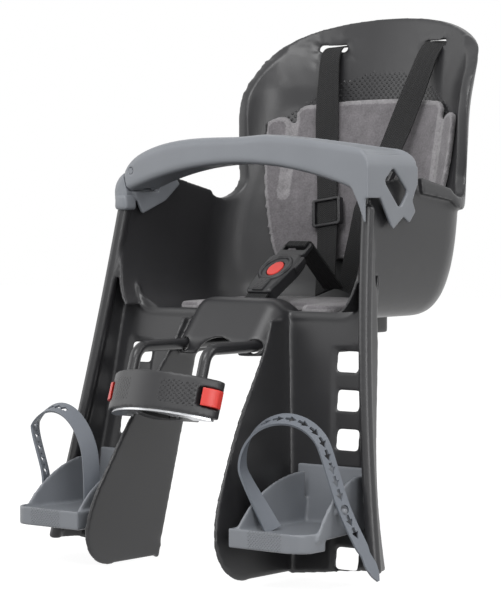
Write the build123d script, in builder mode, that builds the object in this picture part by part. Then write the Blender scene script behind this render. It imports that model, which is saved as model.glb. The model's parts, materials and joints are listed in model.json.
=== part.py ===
from build123d import *
from math import atan, cos, degrees, radians, sin, sqrt, tan
import os

os.makedirs("parts", exist_ok=True)

# Frame: origin on the axis of the head-tube clamp, +X to the child's left, +Y to the back, +Z up.
# The arm datum is the middle between the two front arm corners of the shell; shell sizes start there.
arm_y = 126.0
arm_z = 182.0
head_tilt = 18.0

# Shell
wall = 4.0
arm_half = 152.0
back_y = 214.0
back_lean = 0.21
back_radius = 235.0
corner_radius = 55.0
back_top = 194.5
wing_y = 171.5
wing_low = 30.0
notch_y = 150.0
notch_z = 7.0
arm_top_y = 66.0
arm_top_z = 27.0
pan_z = -112.0
pan_front = -3.0
arm_front = -4.0
lip_out = 7.0
lip_width = 12.0
lip_start = 78.0
lip_low = -16.0

# Pommel
pommel_half = 58.0
pommel_top = -92.0
pommel_front = -46.0
pommel_back = 44.0
pommel_round = 24.0
pommel_low = -148.0
arch_half = 27.0
arch_top = -131.0
rod_half_spacing = 43.0
rod_radius = 5.5
rod_z = -138.0
rod_clearance = 0.8

# Leg guards
guard_bottom = -353.0
inner_wall_x = pommel_half - 3
inner_wall_splay = 0.125
inner_wall_front = -146.0
guard_bottom_rise = 15.0
calf_y = -2.0
calf_lean = 0.146
calf_top = -110.0
bead_radius = 6.5
hole_count = 6
hole_width = 24.0
hole_height = 19.0
hole_pitch = 37.0
first_hole_z = -151.0
hole_x = arm_half - 23
hole_splay = 0.10
ladder_margin = 5.0
ladder_depth = 1.6

# Fits
fit = 0.3

# Slots in the back and under the pan
strap_width = 25.0
strap_thick = 1.8
strap_slot_x = 66.0
strap_slot_z = 165.0
strap_slot_height = 7.0
anchor_height = 16.0
anchor_gap = 0.4
boss_half = 58.0
boss_front = 84.0
boss_back = 166.0
boss_z = -132.0
saddle_half = 53.0
saddle_depth = 22.0
saddle_z = -149.0
saddle_screw_x = 22.0
saddle_screw_radius = 2.5
rod_back_y = 124.0
rod_bend = 16.0

# Clamp block on the head tube, in the plane square to the tube
tube_radius = 17.5
liner_thick = 1.8
block_height = 36.0
block_half = 65.0
block_front = -30.0
block_end_front = 2.0
block_end_back = 12.0
jaw_half = 33.0
jaw_back = 28.0
clamp_bolt_x = 26.5
clamp_bolt_radius = 2.5
rod_foot = -12.0
base_plate_thick = 2.0
button_travel = 3.5
button_inner = block_half - 10
button_outer = block_half + 2.5
button_half_height = 9.0
button_back = 8.0
spring_radius = 2.5

# Safety bar, in the front view
bar_front = -20.0
bar_back = 64.0
bar_rest_back = 34.0
bar_round = 8.0
seam_gap = 0.6
hook_x = arm_half + 5.7
hook_thick = 3.5
bar_pivot = (15 - arm_half, 32.0)
knuckle_radius = 7.0
knuckle_y = 8.0
knuckle_width = 14.0
pin_radius = 3.0
pin_clearance = 0.05
bracket_front = -14.0
bracket_back = 40.0

# Buckle on the crotch strap
buckle_y = 50.0
buckle_z = -70.0
buckle_rise = 35.1
buckle_half_top = 20.0
buckle_half_low = 15.0
buckle_low = -36.0
buckle_top = 26.0
buckle_button_y = 1.0
buckle_button_rx = 8.5
buckle_button_ry = 11.0
buckle_travel = 2.5
tongue_end = 48.0

# Pads
pad_thick = 7.0
pad_slit_x = 94.5
seat_pad_top = -99.0

# Footrests
rest_floor = -306.0
rest_thick = 4.0
rest_front = -140.0
rest_inner_x = arm_half - 55
rest_outer_x = arm_half + 24
rest_gap = 0.4
foot_strap_width = 11.0
foot_strap_thick = 2.2
peg_radius = 3.0


def side(x=0.0):
    """Side view through the seat: local x is backwards, local y is up."""
    return Plane((x, arm_y, arm_z), x_dir=(0, 1, 0), z_dir=(1, 0, 0))


def front(y=0.0):
    """Front view: local x is to the child's left, local y is up, the normal points forwards."""
    return Plane((0, arm_y + y, arm_z), x_dir=(1, 0, 0), z_dir=(0, -1, 0))


def level(z):
    """Plan view at a height above the arm datum."""
    return Plane((0, arm_y, arm_z + z))


saddle_y = boss_front + saddle_depth / 2

# Tub: plan sections from the belly to the top of the back.
# Each row: height, half width, corner radius, back radius, inset of the back for the belly.
tub_rows = [
    (pan_z, arm_half - 40, corner_radius - 8, back_radius, 28),
    (pan_z + 10, arm_half - 15, corner_radius, back_radius, 9),
    (pan_z + 40, arm_half - 2, corner_radius, back_radius, 0),
    (0, arm_half, corner_radius, back_radius, 0),
    (55, arm_half - 7, corner_radius + 7, back_radius + 10, 0),
    (110, arm_half - 8.5, corner_radius + 15, back_radius + 20, 0),
    (back_top + 12, arm_half + 23, corner_radius + 45, back_radius + 60, 0),
]


def tub_section(row, inset, lift, reach):
    """Closed plan outline: straight sides, tangent corner arcs and a wide back arc."""
    height, half, corner, radius, belly = row
    half, corner, radius = half - inset, corner - inset, radius - inset
    rear = back_y + back_lean * height - belly - inset
    near = arm_front + back_lean * height - reach
    arc_y = rear - radius
    corner_x = half - corner
    corner_y = arc_y + sqrt((radius - corner) ** 2 - corner_x**2)
    scale = radius / (radius - corner)
    touch = (corner_x * scale, arc_y + (corner_y - arc_y) * scale)
    turn = degrees(atan(corner_x / (corner_y - arc_y)))
    mid_angle = radians(45 - turn / 2)
    middle = (corner_x + corner * cos(mid_angle), corner_y + corner * sin(mid_angle))
    with BuildSketch(level(height + lift)) as sketch:
        with BuildLine():
            Line((-half, near), (half, near))
            Line((half, near), (half, corner_y))
            ThreePointArc((half, corner_y), middle, touch)
            ThreePointArc(touch, (0, rear), (-touch[0], touch[1]))
            ThreePointArc((-touch[0], touch[1]), (-middle[0], middle[1]), (-half, corner_y))
            Line((-half, corner_y), (-half, near))
        make_face()
    return sketch.sketch


def inner_wall_at(z):
    """Centre-facing face of the inner leg-guard wall at a height."""
    return inner_wall_x + inner_wall_splay * (-133 - z)


def calf_at(z):
    """Front face of the calf panel at a height."""
    return calf_y + calf_lean * (z - calf_top)


# Outer flange of the leg guard. Each row: height, x at the calf panel, x and y at the front bead.
flange_rows = [
    (guard_bottom, arm_half + 44, arm_half + 52, -62),
    (-290, arm_half + 28, arm_half + 38, -53),
    (-225, arm_half + 18, arm_half + 27, -44),
    (-140, arm_half + 11, arm_half + 16, -30),
    (-80, arm_half + 6, arm_half + 9, -19),
    (-4, arm_half, arm_half + 2, -6),
]


def flange_section(row):
    """Thin slanting quadrilateral from the calf panel out to the front bead."""
    height, rear_x, front_x, front_y = row
    rear_y = calf_at(height) + wall / 2 if height < calf_top else calf_at(calf_top) + wall / 2
    with BuildSketch(level(height)) as sketch:
        Polygon(
            (rear_x - wall, rear_y), (rear_x, rear_y), (front_x, front_y), (front_x - wall, front_y),
            align=None,
        )
    return sketch.sketch


head = Plane((0, 0, 0), x_dir=(1, 0, 0), z_dir=(0, sin(radians(head_tilt)), cos(radians(head_tilt))))
buckle_plane = Plane(
    (0, arm_y + buckle_y, arm_z + buckle_z),
    x_dir=(1, 0, 0),
    z_dir=(0, -sin(radians(buckle_rise)), cos(radians(buckle_rise))),
)

splay_angle = degrees(atan(inner_wall_splay))
calf_angle = degrees(atan(calf_lean))
inner_plane = Plane(
    (inner_wall_x, arm_y, arm_z - 133),
    x_dir=(0, 1, 0),
    z_dir=(cos(radians(splay_angle)), 0, sin(radians(splay_angle))),
)
calf_plane = Plane(
    (0, arm_y + calf_y, arm_z + calf_top),
    x_dir=(1, 0, 0),
    z_dir=(0, -cos(radians(calf_angle)), sin(radians(calf_angle))),
)
calf_drop = (calf_top - guard_bottom) / cos(radians(calf_angle))

with BuildPart() as leg_guard:
    # Outer flange and its rolled front bead
    loft([flange_section(row) for row in flange_rows])
    bead_points = [(x - wall / 2, arm_y + y, arm_z + z) for z, _, x, y in flange_rows]
    with BuildLine() as bead_path:
        ThreePointArc(bead_points[0], bead_points[3], bead_points[-1])
    with BuildSketch(Plane(bead_path.line @ 0, z_dir=bead_path.line % 0)):
        Circle(bead_radius)
    sweep(path=bead_path.line)
    # Inner wall: flat panel, splayed outwards, with a swept front edge
    inner_low = guard_bottom + 133
    with BuildSketch(inner_plane):
        with BuildLine():
            Spline(
                (-40, 0), (-93, -72), (-127, -129), (inner_wall_front, -182),
                tangents=((-0.6, -1), (-0.08, -1)),
            )
            ThreePointArc(
                (inner_wall_front, -182), (inner_wall_front + 12, inner_low + 10),
                (inner_wall_front + 44, inner_low),
            )
            Line((inner_wall_front + 44, inner_low), (calf_at(guard_bottom) + wall, inner_low))
            Line((calf_at(guard_bottom) + wall, inner_low), (calf_at(calf_top) + wall, 20))
            Line((calf_at(calf_top) + wall, 20), (-30, 20))
            Line((-30, 20), (-40, 0))
        make_face()
    extrude(amount=wall)
    # Calf panel with its sunken ladder of footrest holes
    with BuildSketch(calf_plane):
        with BuildLine():
            Polyline(
                (inner_wall_at(calf_top) + 1, 6), (inner_wall_at(guard_bottom) + 1, -calf_drop),
                (arm_half + 42, -calf_drop),
            )
            Spline(
                (arm_half + 42, -calf_drop), (arm_half + 26, 63 - calf_drop), (arm_half + 9, -31),
                (arm_half + 6, 0),
            )
            Polyline(
                (arm_half + 6, 0), (arm_half + 5, 42), (arm_half - 1, 42), (arm_half - 16, 18),
                (arm_half - 40, 6), (inner_wall_at(calf_top) + 1, 6),
            )
        make_face()
    extrude(amount=-wall)
    ladder_run = (hole_count - 1) * hole_pitch
    with BuildSketch(calf_plane):
        with Locations((hole_x + hole_splay * ladder_run / 2, first_hole_z - calf_top - ladder_run / 2)):
            RectangleRounded(
                hole_width + 2 * ladder_margin, ladder_run + hole_height + 2 * ladder_margin, 3,
                rotation=degrees(atan(hole_splay)),
            )
    extrude(amount=-ladder_depth, mode=Mode.SUBTRACT)
    with BuildSketch(calf_plane):
        for index in range(hole_count):
            drop = calf_top - first_hole_z + index * hole_pitch
            with Locations((hole_x + hole_splay * index * hole_pitch, -drop)):
                Rectangle(hole_width, hole_height)
    extrude(amount=wall, both=True, mode=Mode.SUBTRACT)
    # Lower edge rising to the outer side
    with BuildSketch(front()):
        Polygon(
            (arm_half - 66, guard_bottom), (arm_half + 68, guard_bottom + guard_bottom_rise),
            (arm_half + 68, guard_bottom - 20), (arm_half - 66, guard_bottom - 20), align=None,
        )
    extrude(amount=100, both=True, mode=Mode.SUBTRACT)

with BuildPart() as pommel:
    # Side outline across the middle, rounded along its shoulders and hollowed from below and behind
    with BuildSketch(side()):
        with BuildLine():
            FilletPolyline(
                (pommel_front, pommel_low), (pommel_front + 3, -132), (-12, pommel_top), (12, pommel_top - 2),
                (pommel_back, pan_z + 1),
                radius=[14, 16, 14],
            )
            Polyline((pommel_back, pan_z + 1), (pommel_back, pommel_low), (pommel_front, pommel_low))
        make_face()
    extrude(amount=pommel_half, both=True)
    crown = pommel.edges().filter_by(lambda e: abs(e.center().X) > pommel_half - 1)
    crown = crown.filter_by(lambda e: e.center().Z > arm_z + pommel_low + 2)
    crown = crown.filter_by(lambda e: e.center().Y < arm_y + pommel_back - 1)
    fillet(crown, pommel_round)
    openings = pommel.faces().sort_by(Axis.Z)[:1] + pommel.faces().sort_by(Axis.Y)[-1:]
    offset(amount=-wall, openings=openings)

def side_outline():
    """Side view of the shell: arm, armpit notch, wing and the sweep up to the top of the back."""
    with BuildSketch() as sketch:
        with BuildLine():
            Polyline((arm_front - 60, pan_z - 5), (arm_front - 60, -20), (arm_front - 4, -4))
            ThreePointArc((arm_front - 4, -4), (arm_front + 4, 10), (arm_front + 20, 18))
            Polyline((arm_front + 20, 18), (arm_top_y, arm_top_z), (notch_y - 22, notch_z + 7))
            ThreePointArc((notch_y - 22, notch_z + 7), (notch_y + 5, notch_z), (wing_y, wing_low))
            Line((wing_y, wing_low), (wing_y, 85))
            Spline((wing_y, 85), (176, 110), (189, 130), (206, 150), (222, 215), tangents=((0, 1), (0, 1)))
            Polyline((222, 215), (330, 215), (330, pan_z - 5), (arm_front - 60, pan_z - 5))
        make_face()
    return sketch.sketch


def front_outline():
    """Front view of the shell: full shoulders and a gently arched top edge."""
    with BuildSketch() as sketch:
        with BuildLine():
            Polyline((-160, 110), (-200, 80), (-200, pan_z - 5), (200, pan_z - 5), (200, 80), (160, 110))
            Spline(
                (160, 110), (142, 148), (118, 169), (88, 183), (0, back_top),
                (-88, 183), (-118, 169), (-142, 148), (-160, 110),
            )
        make_face()
    return sketch.sketch


with BuildPart() as rim_lip:
    # Rolled rim: a band outside the wings and the top of the back
    lip_rows = tub_rows[2:]
    loft([tub_section(row, -lip_out, 0, 0) for row in lip_rows])
    loft([tub_section(row, wall - 1, 0, 40) for row in lip_rows], mode=Mode.SUBTRACT)
    with BuildSketch(side()):
        add(side_outline())
    extrude(amount=260, both=True, mode=Mode.INTERSECT)
    with BuildSketch(front()):
        add(front_outline())
    extrude(amount=400, both=True, mode=Mode.INTERSECT)
    with BuildSketch(side()):
        with Locations((lip_start + 150, lip_low + 150)):
            Rectangle(300, 300)
    extrude(amount=260, both=True, mode=Mode.INTERSECT)

with BuildPart() as lip_core:
    # What the rim leaves bare: the outlines again, drawn further in by the width of the lip
    wing_in = wing_y + lip_width
    with BuildSketch(side()):
        with BuildLine():
            Polyline((lip_start - 20, notch_z + 16 - lip_width), (notch_y - 22, notch_z + 7 - lip_width))
            Spline(
                (notch_y - 22, notch_z + 7 - lip_width), (notch_y + 10, notch_z - lip_width),
                (wing_in, wing_low), (wing_in, 80), (190, 110), (203, 128), (220, 150), (236, 215),
            )
            Polyline(
                (236, 215), (340, 215), (340, pan_z), (lip_start - 20, pan_z),
                (lip_start - 20, notch_z + 16 - lip_width),
            )
        make_face()
    extrude(amount=300, both=True)
    with BuildSketch(front()):
        with BuildLine():
            Polyline((-146, 106), (-300, 106), (-300, pan_z), (300, pan_z), (300, 106), (146, 106))
            Spline(
                (146, 106), (132, 142), (113, 161), (85, 175.5), (0, back_top - lip_width + 3),
                (-85, 175.5), (-113, 161), (-132, 142), (-146, 106),
            )
        make_face()
    extrude(amount=400, both=True, mode=Mode.INTERSECT)

with BuildPart() as seat_shell:
    # Bucket: an outer loft hollowed by an inner one, open at the top and the front
    loft([tub_section(row, 0, 0, 0) for row in tub_rows])
    lifts = [wall] + [0] * (len(tub_rows) - 1)
    loft([tub_section(row, wall, lift, 30) for row, lift in zip(tub_rows, lifts)], mode=Mode.SUBTRACT)
    with BuildSketch(side()):
        add(side_outline())
    extrude(amount=260, both=True, mode=Mode.INTERSECT)
    with BuildSketch(front()):
        add(front_outline())
    extrude(amount=400, both=True, mode=Mode.INTERSECT)
    add(rim_lip.part - lip_core.part)
    # The pan stops at the calf panels and leaves the pommel open from below
    with BuildSketch(level(pan_z - 1)):
        with Locations((0, pan_front - 50)):
            Rectangle(2 * (arm_half - wall - 14), 100)
        with Locations((0, pan_front)):
            Rectangle(2 * (pommel_half - wall), 2 * (pommel_back - wall - pan_front))
    extrude(amount=30, mode=Mode.SUBTRACT)
    add(pommel.part)
    add(leg_guard.part)
    mirror(leg_guard.part, about=Plane.YZ)
    # Arched clearance for the head tube and the two rod holes in the pommel's front
    with BuildSketch(front()):
        with BuildLine():
            ThreePointArc((-arch_half, pommel_low - 1), (0, arch_top), (arch_half, pommel_low - 1))
            Line((arch_half, pommel_low - 1), (-arch_half, pommel_low - 1))
        make_face()
        with Locations((-rod_half_spacing, rod_z), (rod_half_spacing, rod_z)):
            Circle(rod_radius + rod_clearance)
    extrude(amount=80, mode=Mode.SUBTRACT)
    # Slots for the shoulder straps and the crotch strap
    with BuildSketch(front()):
        with Locations((-strap_slot_x, strap_slot_z), (strap_slot_x, strap_slot_z)):
            SlotOverall(strap_width + 4, strap_slot_height)
    extrude(amount=-400, mode=Mode.SUBTRACT)
    with BuildSketch(buckle_plane):
        with Locations((0, -52)):
            Rectangle(strap_width + 3, 30)
    extrude(amount=strap_thick, both=True, mode=Mode.SUBTRACT)
    # Boss under the pan that the rod saddle closes
    with BuildSketch(level(boss_z)):
        with Locations((0, (boss_front + boss_back) / 2)):
            RectangleRounded(2 * boss_half, boss_back - boss_front, 9)
    extrude(amount=pan_z + 1 - boss_z)
    with BuildSketch(level(boss_z)):
        with Locations((-saddle_screw_x, saddle_y), (saddle_screw_x, saddle_y)):
            Circle(saddle_screw_radius + fit)
    extrude(amount=16, mode=Mode.SUBTRACT)

with BuildPart() as back_pad:
    # A layer that follows the inside of the back, cut to a panel with two side ears
    pad_rows = tub_rows[2:-1]
    loft([tub_section(row, wall + fit, 0, 0) for row in pad_rows])
    loft([tub_section(row, wall + fit + pad_thick, 0, 30) for row in pad_rows], mode=Mode.SUBTRACT)
    with BuildSketch(front()):
        with BuildLine():
            Spline((-119, 78), (-117, 35), (-109, -12), (-94, -60), tangents=((0, -1), (0.5, -1)))
            Line((-94, -60), (94, -60))
            Spline((94, -60), (109, -12), (117, 35), (119, 78), tangents=((0.5, 1), (0, 1)))
            ThreePointArc((119, 78), (108, 92), (97, 80))
            Line((97, 80), (94, 92))
            ThreePointArc((94, 92), (89, 102), (77, 105))
            ThreePointArc((77, 105), (0, 109), (-77, 105))
            ThreePointArc((-77, 105), (-89, 102), (-94, 92))
            Line((-94, 92), (-97, 80))
            ThreePointArc((-97, 80), (-108, 92), (-119, 78))
        make_face()
        with Locations((-pad_slit_x, 50), (pad_slit_x, 50)):
            SlotOverall(84, 4, rotation=90, mode=Mode.SUBTRACT)
    extrude(amount=-400, mode=Mode.INTERSECT)

with BuildPart() as seat_pad:
    # Pan cushion that goes round the back of the pommel
    with BuildSketch(level(pan_z + wall + fit)):
        with BuildLine():
            FilletPolyline(
                (pommel_half + 4, 8), (96, 8), (97, 154), (-97, 154), (-96, 8), (-pommel_half - 4, 8),
                radius=[14, 52, 52, 14],
            )
            FilletPolyline(
                (-pommel_half - 4, 8), (-pommel_half - 4, pommel_back + 4),
                (pommel_half + 4, pommel_back + 4), (pommel_half + 4, 8), radius=18,
            )
        make_face()
    extrude(amount=seat_pad_top - pan_z - wall - fit)
    fillet(seat_pad.faces().sort_by(Axis.Z)[-1].edges(), 3)

# Carrier: one bent rod that stands in the block and runs back under the pan
rod_level = arm_z + rod_z
leg_length = rod_level / cos(radians(head_tilt))
bend_run = rod_bend * tan(radians((90 - head_tilt) / 2))


def up_tube(length, x=0.0, back=0.0):
    """Point along the tube axis from the clamp, with sideways and backward offsets."""
    return head.from_local_coords((x, back, length))


rod_corner = up_tube(leg_length)
rod_rear = arm_y + rod_back_y
with BuildPart() as carrier_rod:
    with BuildLine() as rod_path:
        for hand in (1, -1):
            x = hand * rod_half_spacing
            leg_top = up_tube(leg_length - bend_run, x)
            run_start = (x, rod_corner.Y + bend_run, rod_level)
            run_end = (x, rod_rear - rod_bend, rod_level)
            Line(up_tube(rod_foot, x), leg_top)
            TangentArc(leg_top, run_start, tangent=head.z_dir)
            Line(run_start, run_end)
            TangentArc(run_end, (x - hand * rod_bend, rod_rear, rod_level), tangent=(0, 1, 0))
        rear_end = rod_half_spacing - rod_bend
        Line((rear_end, rod_rear, rod_level), (-rear_end, rod_rear, rod_level))
    rod_wire = Wire(rod_path.line.edges())
    with BuildSketch(head.offset(rod_foot)):
        with Locations((rod_half_spacing, 0)):
            Circle(rod_radius)
    sweep(path=rod_wire)

saddle_top = boss_z - fit
with BuildPart() as rod_saddle:
    with BuildSketch(level(saddle_z)):
        with Locations((0, saddle_y)):
            RectangleRounded(2 * saddle_half, saddle_depth, 5)
    extrude(amount=saddle_top - saddle_z)
    with BuildSketch(front(saddle_y)):
        for hand in (1, -1):
            with Locations((hand * rod_half_spacing, rod_z)):
                Circle(rod_radius + fit)
            with Locations((hand * rod_half_spacing, rod_z + rod_radius)):
                Rectangle(2 * (rod_radius + fit), 2 * rod_radius)
    extrude(amount=saddle_depth, both=True, mode=Mode.SUBTRACT)
    with BuildSketch(level(saddle_z)):
        with Locations((-saddle_screw_x, saddle_y), (saddle_screw_x, saddle_y)):
            Circle(saddle_screw_radius + fit)
    extrude(amount=30, mode=Mode.SUBTRACT)

saddle_screws = []
for hand in (1, -1):
    with BuildPart() as saddle_screw:
        with BuildSketch(level(saddle_z - fit)):
            with Locations((hand * saddle_screw_x, saddle_y)):
                Circle(4.5)
        extrude(amount=-3)
        with BuildSketch(level(saddle_z - fit)):
            with Locations((hand * saddle_screw_x, saddle_y)):
                Circle(saddle_screw_radius)
        extrude(amount=boss_z - saddle_z + 14)
    saddle_screws.append(saddle_screw)

# Clamp block
bore_radius = tube_radius + liner_thick + fit
half_height = block_height / 2


def block_plan():
    """Plan of the block: bowed front, straight ends and a rear pocket for the jaw."""
    pocket = jaw_half + fit
    with BuildSketch() as sketch:
        with BuildLine():
            ThreePointArc((-block_half, block_end_front), (0, block_front), (block_half, block_end_front))
            Polyline(
                (block_half, block_end_front), (block_half, block_end_back), (pocket, block_end_back),
                (pocket, -fit), (-pocket, -fit), (-pocket, block_end_back), (-block_half, block_end_back),
                (-block_half, block_end_front),
            )
        make_face()
    return sketch.sketch


with BuildPart() as block_body:
    with BuildSketch(head.offset(-half_height)):
        add(block_plan())
    extrude(amount=block_height)
    corners = block_body.edges().filter_by(Axis((0, 0, 0), head.z_dir))
    fillet(corners.filter_by(lambda e: abs(e.center().X) > block_half - 1), 4)
    with BuildSketch(head.offset(-half_height)):
        Circle(bore_radius)
    extrude(amount=block_height, mode=Mode.SUBTRACT)
    # Rod sockets from above
    with BuildSketch(head.offset(rod_foot - fit)):
        with Locations((-rod_half_spacing, 0), (rod_half_spacing, 0)):
            Circle(rod_radius + fit)
    extrude(amount=block_height, mode=Mode.SUBTRACT)
    # End pockets for the release buttons
    with BuildSketch(head.offset(-button_half_height - fit)):
        for hand in (1, -1):
            with Locations((hand * (button_inner - button_travel - fit + 10), button_back + fit - 15)):
                Rectangle(20, 30)
    extrude(amount=2 * (button_half_height + fit), mode=Mode.SUBTRACT)
    # Bolt holes from the jaw side
    bolt_plane = Plane(up_tube(0, back=block_end_back), x_dir=(1, 0, 0), z_dir=-head.y_dir)
    with BuildSketch(bolt_plane):
        with Locations((-clamp_bolt_x, 0), (clamp_bolt_x, 0)):
            Circle(clamp_bolt_radius + fit)
    extrude(amount=28, mode=Mode.SUBTRACT)

with BuildPart() as block_jaw:
    with BuildSketch(head.offset(-half_height)):
        with Locations((0, (jaw_back + fit) / 2)):
            Rectangle(2 * jaw_half, jaw_back - fit)
    extrude(amount=block_height)
    jaw_corners = block_jaw.edges().filter_by(Axis((0, 0, 0), head.z_dir))
    fillet(jaw_corners.filter_by(lambda e: e.center().Y > jaw_back / 2), 10)
    with BuildSketch(head.offset(-half_height)):
        Circle(bore_radius)
    extrude(amount=block_height, mode=Mode.SUBTRACT)
    with BuildSketch(Plane(up_tube(0, back=jaw_back + 1), x_dir=(1, 0, 0), z_dir=-head.y_dir)):
        with Locations((-clamp_bolt_x, 0), (clamp_bolt_x, 0)):
            Circle(clamp_bolt_radius + fit)
    extrude(amount=jaw_back + 2, mode=Mode.SUBTRACT)

clamp_bolts = []
for hand in (1, -1):
    with BuildPart() as clamp_bolt:
        seat = Plane(up_tube(0, hand * clamp_bolt_x, jaw_back + fit), x_dir=(1, 0, 0), z_dir=head.y_dir)
        with BuildSketch(seat):
            Circle(4.5)
        extrude(amount=5)
        with BuildSketch(seat.offset(5)):
            RegularPolygon(2.3, 6)
        extrude(amount=-3, mode=Mode.SUBTRACT)
        with BuildSketch(seat):
            Circle(clamp_bolt_radius)
        extrude(amount=-jaw_back - 14)
    clamp_bolts.append(clamp_bolt)

with BuildPart() as clamp_liner:
    with BuildSketch(head.offset(-half_height)):
        Circle(tube_radius + liner_thick)
        Circle(tube_radius, mode=Mode.SUBTRACT)
        with Locations((0, tube_radius)):
            Rectangle(4, 8, mode=Mode.SUBTRACT)
    extrude(amount=block_height)

with BuildPart() as block_base_plate:
    with BuildSketch(head.offset(-half_height - fit)):
        add(block_plan())
        offset(amount=-4)
        Circle(bore_radius + 2, mode=Mode.SUBTRACT)
    extrude(amount=-base_plate_thick)

release_buttons = []
button_springs = []
for hand in (1, -1):
    with BuildPart() as release_button:
        with BuildSketch(head.offset(-button_half_height)):
            with BuildLine():
                Polyline(
                    (hand * button_inner, button_back), (hand * button_outer, button_back),
                    (hand * button_outer, block_end_front - 1),
                )
                ThreePointArc(
                    (hand * button_outer, block_end_front - 1),
                    (hand * (button_outer - 5), block_end_front - 7.5),
                    (hand * button_inner, block_end_front - 12.5),
                )
                Line((hand * button_inner, block_end_front - 12.5), (hand * button_inner, button_back))
            make_face()
        extrude(amount=2 * button_half_height)
        spring_seat = Plane(up_tube(0, hand * button_inner, 0), x_dir=head.y_dir, z_dir=(hand, 0, 0))
        with BuildSketch(spring_seat):
            Circle(spring_radius + fit)
        extrude(amount=9, mode=Mode.SUBTRACT)
    release_buttons.append(release_button)
    with BuildPart() as button_spring:
        with BuildSketch(spring_seat.offset(-button_travel)):
            Circle(spring_radius)
            Circle(spring_radius - 1, mode=Mode.SUBTRACT)
        extrude(amount=button_travel + 5)
    button_springs.append(button_spring)

# Safety bar
bar_end_low = (10 - arm_half, 12)
bar_end_top = (4 - arm_half, 33)
bar_rest_end = (-arm_half, bar_rest_back)
hook_face = hook_x + hook_thick
with BuildPart() as safety_bar:
    with BuildSketch(front(bar_back)):
        with BuildLine():
            Line(bar_end_low, bar_end_top)
            Spline(
                bar_end_top, (30 - arm_half, 52), (0, 64), (arm_half - 6, 53),
                tangents=((0.6, 1), (1, -0.16)),
            )
            ThreePointArc((arm_half - 6, 53), (arm_half + 4, 46), (hook_face, 30))
            Polyline(
                (hook_face, 30), (hook_face, -26), (arm_half + 5, -20), (arm_half - 3, 0),
                (arm_half - 9, 11),
            )
            ThreePointArc((arm_half - 9, 11), (0, 37.6), bar_end_low)
        make_face()
    extrude(amount=bar_back - bar_front)
    # Plan outline: slim in the middle, widening to the hooked end
    with BuildSketch(level(0)):
        with BuildLine():
            ThreePointArc((-arm_half, bar_front + 6), (0, bar_front + 2), (hook_face, bar_front))
            Line((hook_face, bar_front), (hook_face, bar_back))
            Spline((hook_face, bar_back), (110, 33), (20, 23), bar_rest_end, tangents=((-1, -0.8), (-1, 0.1)))
            Line(bar_rest_end, (-arm_half, bar_front + 6))
        make_face()
    extrude(amount=120, both=True, mode=Mode.INTERSECT)
    long_edges = safety_bar.edges().filter_by(lambda e: e.length > arm_half)
    fillet(long_edges.filter_by(lambda e: e.center().Z > arm_z + 40), bar_round)
    long_edges = safety_bar.edges().filter_by(lambda e: e.length > arm_half)
    fillet(long_edges.filter_by(lambda e: arm_z + 10 < e.center().Z < arm_z + 40), bar_round - 2)
    # Room for the arm and its bead inside the hooked end
    with BuildSketch(front(bar_front + hook_thick)):
        Polygon(
            (arm_half - 32, -40), (hook_x, -40), (hook_x, 34), (arm_half, 43), (arm_half - 8, 30),
            (arm_half - 32, 24), align=None,
        )
    extrude(amount=-(bar_back - bar_front + 10), mode=Mode.SUBTRACT)
    # Outer cheek cut to the hook shape, with its window
    with BuildSketch(side(hook_face)):
        Polygon(
            (22, -26), (40, -14), (50, -20), (60, -9), (55, 2), (bar_back + 1, 20), (bar_back + 1, -60),
            (bar_front - 1, -60), (bar_front - 1, 4), (2, 4), align=None,
        )
        with BuildLine():
            FilletPolyline((23, 33), (8, 20), (33, -6), (47, 10), (23, 33), radius=4, close=False)
        make_face()
    extrude(amount=-hook_thick - 0.1, mode=Mode.SUBTRACT)
    # Fork for the hinge knuckle, and the pin hole
    with BuildSketch(front(knuckle_y + knuckle_width + fit)):
        with Locations(bar_pivot):
            Circle(knuckle_radius + 5)
        Polygon(
            (-arm_half - 8, bar_pivot[1] - 25), (bar_pivot[0], bar_pivot[1] - 25), bar_pivot,
            (-arm_half - 8, bar_pivot[1] + 3), align=None,
        )
    extrude(amount=knuckle_width + 2 * fit, mode=Mode.SUBTRACT)
    with BuildSketch(front(bracket_back)):
        with Locations(bar_pivot):
            Circle(pin_radius + fit)
    extrude(amount=bracket_back - bar_front + 10, mode=Mode.SUBTRACT)

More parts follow.
